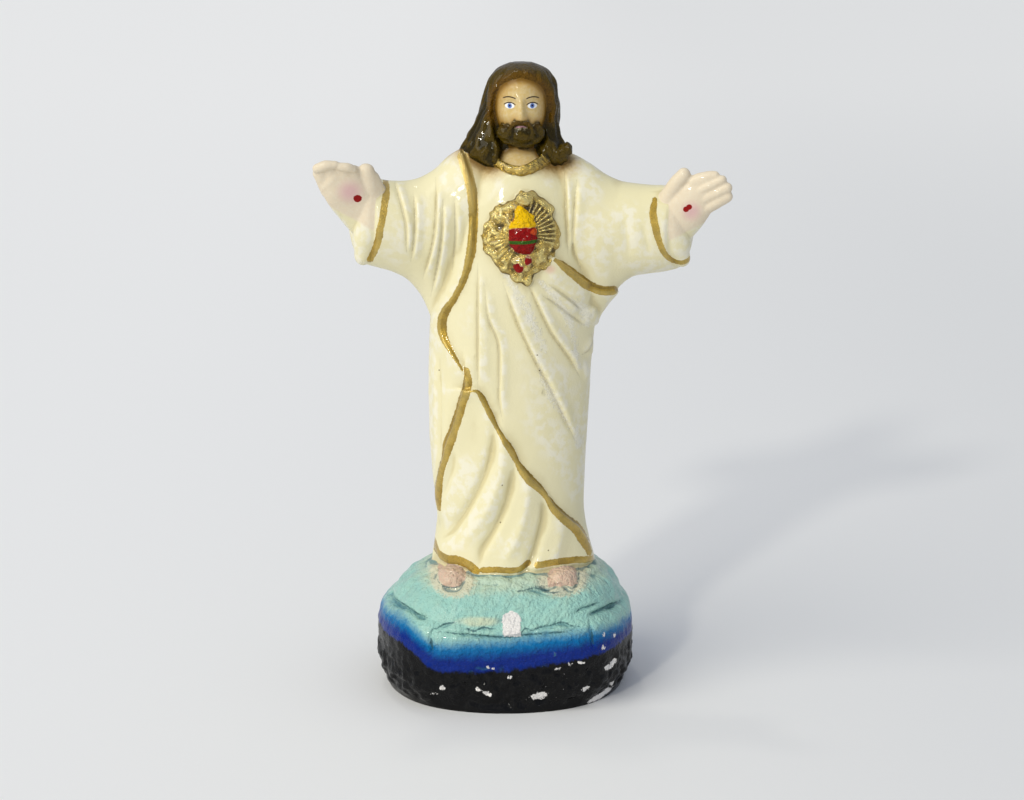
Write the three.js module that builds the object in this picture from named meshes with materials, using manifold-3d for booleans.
// A painted plaster statuette, cast in one piece: a bearded figure in a long robe and mantle,
// with open arms and an emblem of a flaming heart on the chest, standing on a rounded base.
// Millimetres, +Z up. The figure faces -Y, and the origin is the middle of the base's underside.
import * as THREE from 'three';
import { LoftGeometry } from 'three/addons/geometries/LoftGeometry.js';
import { mergeVertices } from 'three/addons/utils/BufferGeometryUtils.js';
import Module from 'manifold-3d';

// The base's plan is eight-sided, and each pair of sides stands this far from the middle before
// the corners are softened. Towards the floor it turns into an oval.
const BASE_END = 46; // the sides that face along X
const BASE_FRONT = 35.2; // the front and the back
const BASE_SLANT = 42.8; // the four slanting sides
const BASE_SLANT_TURN = 28.6; // degrees between a slanting side's normal and X
const BASE_CORNERS = 7; // higher makes the corners sharper
const BASE_FOOT = { halfLength: 37.5, halfWidth: 36 }; // the oval
const BASE_TURN = { from: -4, to: 9 }; // the heights over which the oval turns into the sides

const HEAD_MIDDLE = 4.9; // the head stands a little to the right of the base's middle
const HEART_MIDDLE = { x: 5.2, y: -17.2, z: 146.6 };
const HEART_PLATE = { halfWidth: 11.8, halfHeight: 11.8, rise: 4.6, rays: 20 };
const HEART_PLATE_TIPS = [
  // angle, reach beyond the edge, half spread, both angles in degrees
  [95, 2.2, 14],
  [-84, 2.8, 9],
  [178, 0.7, 14],
  [2, 0.9, 16],
];

// The base's profile: height, share of the full plan, and how far it leans in x.
const BASE_PROFILE = [
  [0, 0.925, 0],
  [1, 0.955, 0],
  [4.5, 0.98, 0],
  [10, 0.995, 0],
  [16, 1, 0],
  [22, 0.99, 0],
  [26.4, 0.955, 0.4],
  [28.2, 0.91, 0.6],
  [32, 0.855, 1.2],
  [35.6, 0.76, 2],
  [38, 0.64, 2.6],
  [39.4, 0.3, 3],
];

// The robe: height, half width, middle in x, front and back in y.
const ROBE = [
  [34, 25.6, 2.5, -19.5, 17.5],
  [39, 25.9, 2.6, -20.3, 18],
  [46, 24.6, 2.2, -19.4, 17.2],
  [54, 23.4, 1.9, -18.6, 16.2],
  [66, 23.9, 1.2, -18.2, 15.4],
  [78, 24.6, 1, -17.8, 15],
  [91, 25.2, 1.2, -17.4, 14.8],
  [104, 25.4, 1.6, -17.2, 14.6],
  [114, 25.6, 2.2, -17.2, 14.4],
  [124, 25.4, 2.8, -17.4, 14.2],
  [136, 24, 3.4, -17.2, 14],
  [148, 22.4, 3.8, -16.2, 13.6],
  [157, 19.8, 4.2, -14.4, 12.8],
  [163, 15.6, 4.6, -12.4, 11.4],
  [167.5, 10.6, 4.9, -9.6, 9.4],
  [170.5, 7, 5, -7, 7],
];

// The sleeves: middle in x, top and bottom in z, middle and half depth in y, the slant of the
// section, in mm of x for each mm of y, and how much its lower half is pinched.
const RIGHT_SLEEVE = [
  [-43.2, 161.4, 134.7, -3.2, 10.4, 0.5, 0],
  [-39, 161, 133.6, -2.9, 10.6, 0.46, 0.02],
  [-34, 160.3, 131.9, -2.6, 10.9, 0.38, 0.08],
  [-29.6, 160.3, 129.2, -2.2, 11.2, 0.28, 0.2],
  [-26, 161.2, 124.6, -1.8, 11.8, 0.18, 0.36],
  [-22, 163.4, 117, -1.5, 12.6, 0.08, 0.5],
  [-17, 168, 114, -1.2, 13.2, 0, 0.6],
  [-10, 170.6, 118, -0.6, 12.6, 0, 0.6],
  [-2, 169, 126, 0, 10, 0, 0.5],
];
const LEFT_SLEEVE = [
  [53.4, 158.7, 133.4, -3.2, 10.4, -0.5, 0],
  [49, 159, 132.3, -2.9, 10.6, -0.46, 0.02],
  [44, 159.1, 131.6, -2.6, 10.9, -0.38, 0.06],
  [39, 159.6, 130.4, -2.2, 11.2, -0.28, 0.14],
  [35, 160.3, 126.8, -1.8, 11.8, -0.18, 0.3],
  [31, 162.2, 120, -1.5, 12.4, -0.08, 0.45],
  [26, 165.6, 115, -1.2, 12.8, 0, 0.55],
  [19, 169, 117, -0.6, 12.2, 0, 0.6],
  [11, 168.6, 126, 0, 10, 0, 0.5],
];
const CUFF_WALL = 1.6;
const CUFF_HOLLOW = 1.3; // how far the sleeve's mouth is sunk

// The head and neck: height, half width, front and back in y.
const HEAD = [
  [160, 6.4, -8.4, 6],
  [166, 5.8, -7.8, 6],
  [171, 5.6, -7.6, 6.4],
  [173.6, 5.4, -10, 7.4],
  [176, 6.6, -11.6, 8.4],
  [180, 7.9, -12.2, 9.2],
  [184, 8.5, -12.3, 9.6],
  [188, 8.6, -12, 9.6],
  [191.5, 7.9, -10.6, 8.6],
  [194, 5.6, -7.4, 6.4],
  [195.4, 2, -2.4, 2.4],
];

// The hair: height, half width, middle in x, front and back in y, half width of the opening
// for the face and neck, and how far back in y that opening goes.
const HAIR = [
  [163.6, 5, 3.6, -7, 8.6, 6.4, -3],
  [165.4, 11.4, 3.6, -10.4, 11.2, 7, -4],
  [168, 15, 2.6, -11.4, 12.2, 6.8, -5],
  [171, 15.4, 2.6, -11, 12.4, 6.6, -5],
  [174, 14.2, 3, -10, 12, 7.4, -5],
  [178, 12.8, 3.9, -9.4, 11.8, 8.3, -5],
  [182, 11.8, 4.7, -9.6, 11.6, 8.7, -5],
  [186, 11.1, 5, -10.6, 11.6, 8.2, -6],
  [189.5, 10.2, 5.2, -11.8, 11.2, 6.4, -8],
  [192.4, 9.1, 5.1, -11.6, 10.2, 3.4, -10.5],
  [194.8, 6.6, 5.2, -8.4, 7.8, 0.1, -8.4],
  [196.2, 3.2, 5.2, -4, 4, 0.1, -4],
];

// Limbs: points in x, y, z along the middle, each with half width and half thickness. The hand at
// the left of the view is closed like a mitten, with the tips of its fingers curled forwards.
const RIGHT_HAND = {
  palm: [
    [-36, -3, 145, 5.5, 4.6],
    [-40.5, -6, 149.5, 6.8, 4.2],
    [-45, -9, 155.2, 7.6, 3.8],
    [-48.6, -11.2, 159.6, 7, 3.4],
    [-51.6, -12.4, 162.4, 5.6, 2.8],
  ],
  parts: [
    // the thumb, and the web that ties it to the cuff
    [[-39.6, -7.5, 153, 3.8, 3.2], [-41, -9.8, 160, 3.2, 2.8], [-41.8, -10.9, 164.4, 2.5, 2.3]],
    [[-36.6, -5.6, 152, 3.6, 3.2], [-38.2, -7.8, 158, 3.2, 2.8], [-39.4, -9, 162, 2.4, 2.2]],
    // the fingers
    [[-53, -11.2, 158.8, 2.8, 2.6], [-55.5, -12.8, 164, 2.4, 2.3]],
    [[-50.5, -11.6, 160.5, 2.9, 2.6], [-52.4, -13, 164.6, 2.5, 2.3]],
    [[-47.6, -11.4, 160.8, 2.8, 2.5], [-48.6, -12.9, 164.6, 2.2, 2]],
    [[-45, -10.8, 160.4, 2.6, 2.3], [-45.6, -12.2, 164.4, 2, 1.9]],
    // their tips, two by two
    [[-56.2, -14.6, 165.6, 1.5, 1.6], [-53.8, -15.2, 166.5, 1.6, 1.8], [-51.2, -15, 166.7, 1.3, 1.6]],
    [[-49.4, -14.8, 166.1, 1.3, 1.5], [-47.4, -14.6, 165.9, 1.4, 1.6], [-45.6, -13.8, 165.3, 1.2, 1.4]],
  ],
};
const LEFT_HAND = {
  palm: [
    [46, -3, 143.5, 5.2, 4.6],
    [50.4, -6, 147.4, 6.4, 4.2],
    [54.4, -8.8, 152, 6.9, 3.8],
    [57.6, -10.4, 155.6, 6.4, 3.2],
    [60, -11.2, 158, 5.2, 2.5],
  ],
  parts: [
    // the thumb
    [[47.8, -7.2, 150.6, 3.2, 2.8], [49.6, -8.8, 155.8, 2.8, 2.6], [51.8, -10.2, 160.2, 2.5, 2.4],
      [54.1, -11.2, 163.4, 2, 2]],
    // the fingers
    [[57.4, -11, 160.8, 2.4, 2.2], [60.6, -12, 162.4, 2, 1.9], [63.4, -12.6, 163.1, 1.5, 1.5]],
    [[58.6, -11.4, 158.4, 1.9, 2.3], [62, -12.5, 160.2, 1.7, 2.1], [65.3, -13, 161.9, 1.5, 1.7]],
    [[60, -11.4, 155.9, 2, 2.3], [63.6, -12.6, 157.8, 1.9, 2.1], [67, -13.2, 159.5, 1.7, 1.7]],
    [[61, -10.9, 153.3, 2.2, 2.2], [64.2, -12.2, 155.2, 2, 2], [67.1, -12.8, 156.9, 1.9, 1.8]],
  ],
};
// The band round the neck of the robe, which hangs lowest at the front.
const COLLAR = [
  [-5.4, -5, 169, 1.3, 0.9],
  [-1.8, -9.4, 166.4, 1.35, 0.9],
  [3.4, -11.9, 164.6, 1.5, 0.9],
  [8.1, -11.6, 165.5, 1.7, 0.9],
  [13, -7.4, 168, 1.8, 0.9],
];
// The lock that curls outwards over the shoulder at the right of the view.
const CURL = [
  [13.4, -5.6, 169.6, 3.6, 3.6],
  [16.4, -6.6, 168.9, 3, 3],
  [18.7, -7, 170.6, 2, 2.2],
];
// The beard and the tips of the feet: middle and half sizes in x, y and z.
const BEARD = [HEAD_MIDDLE, -8.4, 174.8, 7.5, 4.4, 4.5];
const FEET = [
  [-16.2, -18.8, 39.2, 4.8, 4.6, 3],
  [17.2, -19.4, 39, 5.2, 4.4, 3.2],
];

// Folds of the cloth on the front, as smooth lines in x and z. Each has a height, negative for
// a valley, and the width over which it fades.
const FRONT_FOLDS = [
  // the mantle's folds, which fan out from under the heart to its lower edge
  { height: -1.3, width: 1.6, line: [[-10.4, 136], [-10.4, 117], [-11.4, 102]] },
  { height: 1, width: 2.4, line: [[-7.6, 133], [-7, 116], [-7.4, 98]] },
  { height: -1.1, width: 1.5, line: [[-5.4, 133], [-3.9, 117], [-2.4, 98], [-1.2, 86]] },
  { height: 1.2, width: 2.6, line: [[-1.4, 133], [1.8, 118], [6, 102], [10.4, 84]] },
  { height: -1.3, width: 1.6, line: [[0.8, 131], [4.4, 119], [9.6, 106], [16, 93], [21.6, 80]] },
  { height: 1.3, width: 2.3, line: [[5.2, 131], [11.3, 116], [16.4, 105], [22.4, 90]] },
  { height: -1.2, width: 1.5, line: [[8.2, 131], [12.8, 119], [17.4, 111], [24, 99]] },
  // cloth bunched on the hip and slung from under the arm
  { height: 1.4, width: 2.6, line: [[11, 135], [19, 128.6], [26.4, 124]] },
  { height: -1, width: 1.3, line: [[12.6, 131.8], [20.6, 125.4], [25.4, 119]] },
  { height: 1.5, width: 2.4, line: [[25, 121.6], [28.4, 117], [27.4, 112]] },
  { height: 1.2, width: 2, line: [[27.4, 111], [26.6, 107]] },
  // the tunic's folds, which swing towards the right foot
  { height: -1.4, width: 1.5, line: [[-3.4, 92], [-4, 80], [-7.4, 69], [-12.4, 58], [-20.6, 51]] },
  { height: 1.1, width: 2.4, line: [[-0.6, 88], [-0.8, 75], [-3.6, 64], [-8.4, 55], [-15.4, 46]] },
  { height: -1.4, width: 1.5, line: [[3, 77], [2.6, 67], [0.2, 58], [-5.6, 49], [-9.4, 42]] },
  { height: 1.1, width: 2.3, line: [[6.6, 73], [6.6, 63], [4.4, 53], [-0.4, 43]] },
  { height: -1.4, width: 1.5, line: [[11.4, 65], [12.2, 58], [10.4, 50], [7.6, 43], [3.4, 38]] },
  { height: 0.9, width: 2.4, line: [[16.4, 58], [16.6, 50], [14.6, 42]] },
  { height: -0.9, width: 1.4, line: [[-16.2, 77], [-17.4, 71], [-18.6, 64]] },
  // the sleeve at the left of the view, whose folds hang from the arm
  { height: -0.9, width: 1.2, line: [[-33.2, 160.6], [-31.1, 155], [-29.9, 149], [-29.8, 140]] },
  { height: 0.8, width: 1.7, line: [[-30.4, 159], [-28.6, 150], [-28.8, 140]] },
  { height: -0.9, width: 1.2, line: [[-27.7, 158], [-27.1, 151], [-27.4, 144], [-28.4, 138]] },
  { height: -1.1, width: 1.4, line: [[-21.2, 161], [-20.8, 153], [-21.6, 144], [-25, 131]] },
  { height: -1, width: 1.2, line: [[-18.4, 156], [-18.8, 146], [-20.4, 136], [-22.8, 126]] },
  { height: 0.9, width: 1.6, line: [[-16.8, 158], [-16.6, 147], [-18.4, 134]] },
  { height: -0.7, width: 1.2, line: [[-15, 156], [-14.8, 146], [-16, 136]] },
  // the sleeve at the right of the view
  { height: -1, width: 1.3, line: [[18.2, 163], [18.6, 152], [19.5, 139]] },
  { height: -0.9, width: 1.3, line: [[22, 161], [21, 150], [20.8, 141], [24, 133]] },
  { height: -0.5, width: 1.6, line: [[36.2, 150], [37.6, 139]] },
];

// Edges of cloth that lies over other cloth. The lip is to the left of the line's direction.
const FRONT_EDGES = [
  { height: 1.2, line: [[-12.4, 100], [-15.2, 104.6], [-19, 110], [-20.4, 116.3], [-18.6, 123],
    [-15, 130.4], [-11.2, 137], [-9.4, 144], [-9.2, 152], [-10.4, 160.4], [-12.8, 168]] },
  { height: 1.2, line: [[-12.2, 104], [-11.6, 97], [-13.8, 88], [-16.9, 79], [-19.7, 69], [-21.2, 59]] },
  { height: 1.4, line: [[27.2, 43.6], [23.3, 50.5], [18.6, 57], [12.4, 63.4], [6.2, 71.4],
    [1.6, 79.3], [-3, 88.8], [-7, 96.6], [-11.4, 98.4]] },
  { height: 1.3, line: [[32, 129], [26, 130], [21.2, 133.6], [15.4, 138]] },
];
const EDGE_LIP = 5; // over which an edge's lip fades into the cloth
const EDGE_DROP = 0.8; // over which it drops to the cloth under it

// Long, plain folds down the back, spread evenly.
const BACK_FOLDS = { count: 9, height: 0.8, from: 150, to: 60 };

const wasm = await Module();
wasm.setup();

const clamp = THREE.MathUtils.clamp;
const smooth = (value, low, high) => THREE.MathUtils.smoothstep(value, low, high);
const radians = THREE.MathUtils.degToRad;

// A smooth curve through the rows of a table, whose first column is the place along it.
function follow(table) {
  const rows = [...table].sort((a, b) => a[0] - b[0]);
  const curve = new THREE.CubicInterpolant(
    rows.map((row) => row[0]),
    rows.flatMap((row) => row.slice(1)),
    rows[0].length - 1,
  );
  return (place) => Array.from(curve.evaluate(place));
}

// Places evenly spread between two ends, both included.
function spread(from, to, count) {
  return Array.from({ length: count }, (_, i) => from + ((to - from) * i) / (count - 1));
}

// Angles round a section, closer together over the front half, where the detail is.
function turns(front, back) {
  return [
    ...spread(Math.PI, 2 * Math.PI, front + 1).slice(0, front),
    ...spread(0, Math.PI, back + 1).slice(0, back),
  ];
}

// A smooth line in x and z, cut into short steps for measuring.
function lineOf(points) {
  const curve = new THREE.SplineCurve(points.map(([x, z]) => new THREE.Vector2(x, z)));
  return curve.getSpacedPoints(6 * (points.length - 1));
}

// The distance from a place to a line, the side that it is on, and how far along it lies.
function nearest(line, x, z) {
  const found = { distance: Infinity, side: 1, along: 0 };
  for (let i = 0; i < line.length - 1; i++) {
    const a = line[i];
    const run = line[i + 1].clone().sub(a);
    const share = clamp(((x - a.x) * run.x + (z - a.y) * run.y) / run.lengthSq(), 0, 1);
    const dx = x - a.x - share * run.x;
    const dz = z - a.y - share * run.y;
    const distance = Math.hypot(dx, dz);
    if (distance < found.distance) {
      found.distance = distance;
      found.side = Math.sign(run.x * dz - run.y * dx) || 1;
      found.along = (i + share) / (line.length - 1);
    }
  }
  return found;
}

const folds = FRONT_FOLDS.map((fold) => ({ ...fold, line: lineOf(fold.line) }));
const edges = FRONT_EDGES.map((edge) => ({ ...edge, line: lineOf(edge.line) }));

// How far the cloth's relief stands out at a place on the front.
function frontRelief(x, z) {
  let height = 0;
  for (const fold of folds) {
    const { distance, along } = nearest(fold.line, x, z);
    const taper = smooth(along, 0, 0.25) * (1 - smooth(along, 0.75, 1));
    height += fold.height * (0.25 + 0.75 * taper) * Math.exp(-((distance / fold.width) ** 2));
  }
  for (const edge of edges) {
    const { distance, side } = nearest(edge.line, x, z);
    height += edge.height * Math.exp(-((distance / (side > 0 ? EDGE_LIP : EDGE_DROP)) ** 2));
  }
  return height;
}

// How far it stands out on the back.
function backRelief(x, z) {
  const { count, height, from, to } = BACK_FOLDS;
  const wave = Math.cos((x / 50) * count * Math.PI + z * 0.02);
  return height * wave * (1 - smooth(z, to, from));
}

// Moves a point of the cloth out along its normal by the relief there.
function drape(point, normal) {
  const front = smooth(-normal.y, 0.05, 0.45);
  const back = smooth(normal.y, 0.05, 0.5);
  const height = front * frontRelief(point.x, point.z) + back * backRelief(point.x, point.z);
  return point.addScaledVector(normal, height);
}

// Turns a closed geometry into a solid that can be joined and cut.
function solid(geometry) {
  const bare = new THREE.BufferGeometry();
  bare.setAttribute('position', geometry.getAttribute('position'));
  bare.setIndex(geometry.index);
  const merged = mergeVertices(bare, 1e-4);
  return new wasm.Manifold(
    new wasm.Mesh({
      numProp: 3,
      vertProperties: new Float32Array(merged.attributes.position.array),
      triVerts: new Uint32Array(merged.index.array),
    }),
  );
}

// The middle of a closed section, and its area as a vector along its normal.
function measure(section) {
  const middle = new THREE.Vector3();
  const area = new THREE.Vector3();
  section.forEach((point, i) => {
    middle.addScaledVector(point, 1 / section.length);
    area.add(new THREE.Vector3().crossVectors(point, section[(i + 1) % section.length]));
  });
  return { middle, area };
}

// Skins a row of closed sections, whichever way they turn.
function loft(sections) {
  const measured = sections.map(measure);
  const swept = measured.slice(1).reduce((total, { middle, area }, i) => {
    const step = middle.clone().sub(measured[i].middle);
    return total + step.dot(area.clone().add(measured[i].area));
  }, 0);
  const turned = swept > 0 ? sections : sections.map((section) => [...section].reverse());
  return solid(new LoftGeometry(turned, { capStart: true, capEnd: true }));
}

// How far the base's plan reaches at an angle round its middle and at a height, where its sides
// have a share of their full reach.
function planReach(angle, z, share) {
  const sides = [
    [0, BASE_END],
    [90, BASE_FRONT],
    [BASE_SLANT_TURN, BASE_SLANT],
    [-BASE_SLANT_TURN, BASE_SLANT],
  ];
  const sum = sides.reduce(
    (total, [turn, reach]) =>
      total + Math.abs(Math.cos(angle - radians(turn)) / reach) ** BASE_CORNERS,
    0,
  );
  const sided = share * sum ** (-1 / BASE_CORNERS);
  const { halfLength, halfWidth } = BASE_FOOT;
  const oval = 1 / Math.hypot(Math.cos(angle) / halfLength, Math.sin(angle) / halfWidth);
  return THREE.MathUtils.lerp(oval, sided, smooth(z, BASE_TURN.from, BASE_TURN.to));
}

// The rounded base, with a ledge round its top and a flat underside.
function base() {
  const around = 36;
  return loft(
    BASE_PROFILE.map(([z, share, lean]) =>
      spread(0, 2 * Math.PI, around + 1)
        .slice(0, around)
        .map((angle) => {
          const reach = planReach(angle, z, share);
          return new THREE.Vector3(lean + reach * Math.cos(angle), reach * Math.sin(angle), z);
        }),
    ),
  );
}

// The body in its robe, from inside the base up to the neck.
function robe() {
  const at = follow(ROBE);
  return loft(
    spread(37, 170.5, 36).map((z) => {
      const [halfWidth, middle, front, back] = at(z);
      return turns(34, 12).map((angle) => {
        const depth = Math.sin(angle) < 0 ? -front : back;
        const x = halfWidth * Math.cos(angle);
        const y = depth * Math.sin(angle);
        const normal = new THREE.Vector3(x / halfWidth ** 2, y / depth ** 2, 0).normalize();
        return drape(new THREE.Vector3(middle + x, y, z), normal);
      });
    }),
  );
}

// A sleeve from the chest to its slanting, sunken mouth.
function sleeve(table) {
  const at = follow(table);
  const mouth = table[0][0];
  const out = Math.sign(mouth);
  const ring = (place, grow, shift, folded) => {
    const [top, bottom, middle, halfDepth, slant, pinch] = at(place);
    const halfHeight = (top - bottom) / 2;
    return turns(12, 8).map((angle) => {
      const squeeze = 1 - pinch * smooth(-Math.cos(angle), -0.5, 1);
      const across = halfDepth * grow * Math.sin(angle) * squeeze;
      const up = halfHeight * grow * Math.cos(angle);
      const point = new THREE.Vector3(
        place - slant * across + shift,
        middle + across,
        (top + bottom) / 2 + up,
      );
      if (!folded) return point;
      const normal = new THREE.Vector3(0, across / halfDepth ** 2, up / halfHeight ** 2);
      return drape(point, normal.normalize());
    });
  };
  const inner = 1 - CUFF_WALL / 11;
  const hollow = [
    ring(mouth, inner + 0.05, out, false),
    ring(mouth, inner - 0.05, -out * CUFF_HOLLOW, false),
  ];
  const arm = spread(mouth, table.at(-1)[0], 11).map((place) => ring(place, 1, 0, true));
  return loft(arm).subtract(loft(hollow));
}

// A round-ended limb along points that each hold their half width and half thickness.
function limb(stations, steps, sides) {
  const at = follow(stations.map((station, i) => [i / (stations.length - 1), ...station]));
  const places = spread(0, 1, steps);
  const middles = places.map((place) => new THREE.Vector3(...at(place)));
  const sections = places.map((place, i) => {
    const [, , , halfWidth, halfThickness] = at(place);
    const ahead = middles[Math.min(i + 1, steps - 1)].clone().sub(middles[Math.max(i - 1, 0)]);
    const side = new THREE.Vector3(ahead.z, 0, -ahead.x).normalize();
    const up = new THREE.Vector3().crossVectors(side, ahead).normalize();
    return { middle: middles[i], side, up, halfWidth, halfThickness, ahead: ahead.normalize() };
  });
  const ring = ({ middle, side, up, halfWidth, halfThickness, ahead }, grow, push) =>
    spread(0, 2 * Math.PI, sides + 1)
      .slice(0, sides)
      .map((angle) =>
        middle
          .clone()
          .addScaledVector(side, halfWidth * grow * Math.cos(angle))
          .addScaledVector(up, halfThickness * grow * Math.sin(angle))
          .addScaledVector(ahead, push * halfThickness),
      );
  const last = sections.at(-1);
  return loft([
    ...sections.map((section) => ring(section, 1, 0)),
    ring(last, 0.8, 0.55),
    ring(last, 0.4, 0.9),
  ]);
}

// A hand, with its palm, thumb and fingers.
function hand({ palm, parts }) {
  return join([limb(palm, 6, 11), ...parts.map((part) => limb(part, part.length, 6))]);
}

// A rounded lump, from its middle and its half sizes.
function lump([x, y, z, ...halfSizes]) {
  return solid(new THREE.SphereGeometry(1, 12, 8).scale(...halfSizes).translate(x, y, z));
}

// The head with a plain nose, its beard and its neck.
function head() {
  const at = follow(HEAD);
  const skull = loft(
    spread(163, 195.4, 13).map((z) => {
      const [halfWidth, front, back] = at(z);
      return turns(14, 4).map((angle) => {
        const depth = Math.sin(angle) < 0 ? -front : back;
        return new THREE.Vector3(
          HEAD_MIDDLE + halfWidth * Math.cos(angle),
          depth * Math.sin(angle),
          z,
        );
      });
    }),
  );
  const nose = limb(
    [
      [HEAD_MIDDLE, -11.2, 186, 0.8, 1],
      [HEAD_MIDDLE, -12.6, 181.4, 1.4, 1.6],
      [HEAD_MIDDLE, -12.4, 180.6, 1.5, 1.5],
    ],
    3,
    8,
  );
  return join([skull, nose, lump(BEARD)]);
}

// The hair, open at the front for the face and neck, with locks that run down it.
function hair() {
  const at = follow(HAIR);
  const lock = 0.55;
  return loft(
    spread(163.6, 196.2, 13).map((z) => {
      const [halfWidth, middle, front, back, opening, sunk] = at(z);
      return turns(20, 10).map((angle) => {
        const side = Math.cos(angle);
        const depth = Math.sin(angle) < 0 ? -front : back;
        const wave = lock * Math.cos(9 * angle + 0.16 * z) * (1 - smooth(z, 188, 196));
        const x = middle + (halfWidth + wave) * side;
        const y = (depth + wave) * Math.sin(angle);
        const aside = Math.abs(x - HEAD_MIDDLE);
        const held = y < sunk ? 1 - smooth(aside, opening - 1, opening + 0.8) : 0;
        return new THREE.Vector3(x, THREE.MathUtils.lerp(y, sunk + 0.12 * (y - sunk), held), z);
      });
    }),
  );
}

// A plate that bulges towards the front, with a given outline and relief.
function plate(middle, rise, outline, relief, shares, around) {
  return loft([
    ...shares.map((share) =>
      spread(0, 2 * Math.PI, around + 1)
        .slice(0, around)
        .map((angle) => {
          const [x, z] = outline(angle);
          return new THREE.Vector3(
            middle.x + x * share,
            middle.y - rise * Math.sqrt(1 - share ** 2) - relief(angle, share),
            middle.z + z * share,
          );
        }),
    ),
  ]);
}

// The emblem on the chest: a plate of cloud and rays, with a heart and a flame on it.
function emblem() {
  const { halfWidth, halfHeight, rise } = HEART_PLATE;
  const { x, y, z } = HEART_MIDDLE;
  const cloud = (angle) => {
    const reach = HEART_PLATE_TIPS.reduce((total, [turn, beyond, spreading]) => {
      const away = Math.acos(Math.cos(angle - radians(turn))) / radians(spreading);
      return total + beyond * Math.exp(-(away ** 2));
    }, 0);
    return [(halfWidth + reach) * Math.cos(angle), (halfHeight + reach) * Math.sin(angle)];
  };
  const ray = (angle, share) =>
    share > 0.45 && share < 0.95 ? 0.45 * Math.cos(HEART_PLATE.rays * angle) : 0;
  const shares = [1, 0.93, 0.7, 0.5, 0.2];
  const glory = plate({ x, y: y + 3, z }, rise, cloud, ray, shares, 2 * HEART_PLATE.rays);
  const surface = y + 3 - rise;
  const heart = lump([x + 0.4, surface + 0.3, z - 1, 3.9, 2.6, 4.6]);
  const flame = limb(
    [
      [x + 0.4, surface + 0.4, z + 1.6, 3.4, 2],
      [x + 0.2, surface + 0.4, z + 5.2, 2.6, 1.8],
      [x - 0.6, surface + 1, z + 8.4, 1.1, 1],
    ],
    4,
    8,
  );
  return join([glory, heart, flame]);
}

function join(solids) {
  return solids.reduce((whole, piece) => whole.add(piece));
}

// Turns a solid back into a geometry.
function geometryOf(whole) {
  const { numProp, numVert, vertProperties, triVerts } = whole.getMesh();
  const positions = new Float32Array(numVert * 3);
  for (let i = 0; i < numVert; i++) {
    positions.set(vertProperties.subarray(i * numProp, i * numProp + 3), i * 3);
  }
  const geometry = new THREE.BufferGeometry();
  geometry.setAttribute('position', new THREE.BufferAttribute(positions, 3));
  geometry.setIndex(new THREE.BufferAttribute(new Uint32Array(triVerts), 1));
  geometry.computeVertexNormals();
  return geometry;
}

const statuette = new THREE.Mesh(
  geometryOf(
    join([
      base(),
      robe(),
      sleeve(RIGHT_SLEEVE),
      sleeve(LEFT_SLEEVE),
      hand(RIGHT_HAND),
      hand(LEFT_HAND),
      head(),
      hair(),
      limb(CURL, 4, 8),
      limb(COLLAR, 9, 7),
      emblem(),
      ...FEET.map(lump),
    ]),
  ),
  new THREE.MeshStandardMaterial({ color: 0xf1e9c4, roughness: 0.3, metalness: 0 }),
);
statuette.name = 'figurine';

const part = new THREE.Group();
part.add(statuette);

export default part;
